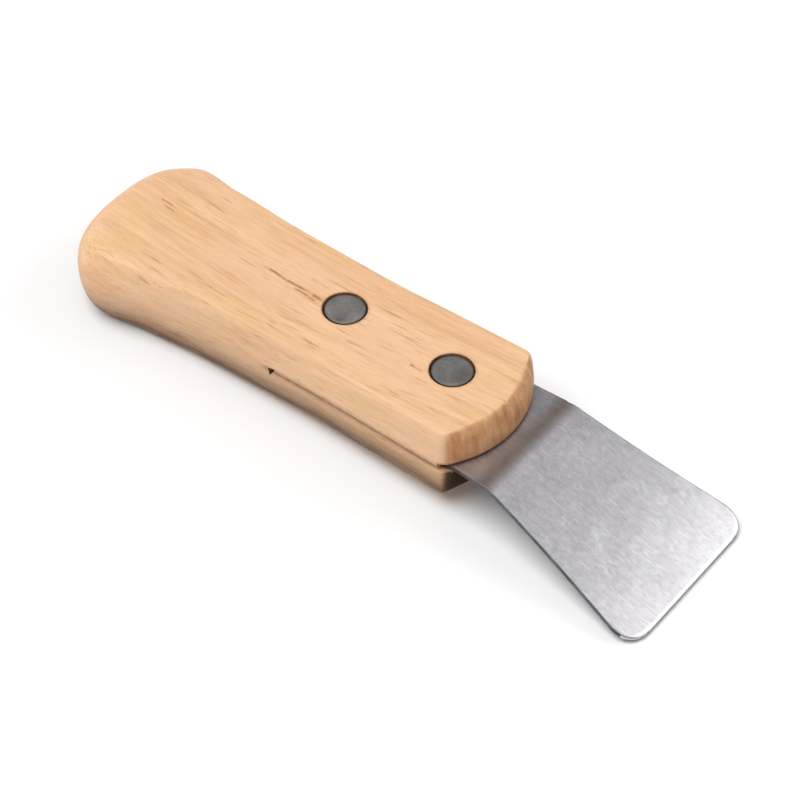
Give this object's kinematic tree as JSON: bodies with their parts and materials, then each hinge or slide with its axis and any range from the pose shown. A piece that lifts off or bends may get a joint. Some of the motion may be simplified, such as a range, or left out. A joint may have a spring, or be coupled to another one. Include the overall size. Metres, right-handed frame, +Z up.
{
  "type": "hoof knife",
  "caption": "Short hoof knife: a waisted wooden handle riveted to a flared flat steel blade that bends down in front of the handle, for scraping and paring a hoof.",
  "frame": {"origin": "centre of the footprint, on the surface the knife lies on", "axes": "+X along the handle towards the blade's edge, +Z up, +Y across to the handle's left side seen from the butt"},
  "size_m": [0.155, 0.0418, 0.022],
  "materials": {
    "handle_wood": "fine-grained pale beech, sanded, thin clear oil",
    "blade_steel": "ground plate, fine scratches along its length",
    "rivet_pin_steel": "flat dull head, slightly sunk",
    "rivet_tube_steel": "flat dull head, slightly sunk"
  },
  "bodies": {
    "root": {"handle": "handle_wood", "blade_plate": "blade_steel", "rivet_pin_front": "rivet_pin_steel", "rivet_pin_rear": "rivet_pin_steel", "rivet_tube_front": "rivet_tube_steel", "rivet_tube_rear": "rivet_tube_steel"}
  },
  "joints": []
}
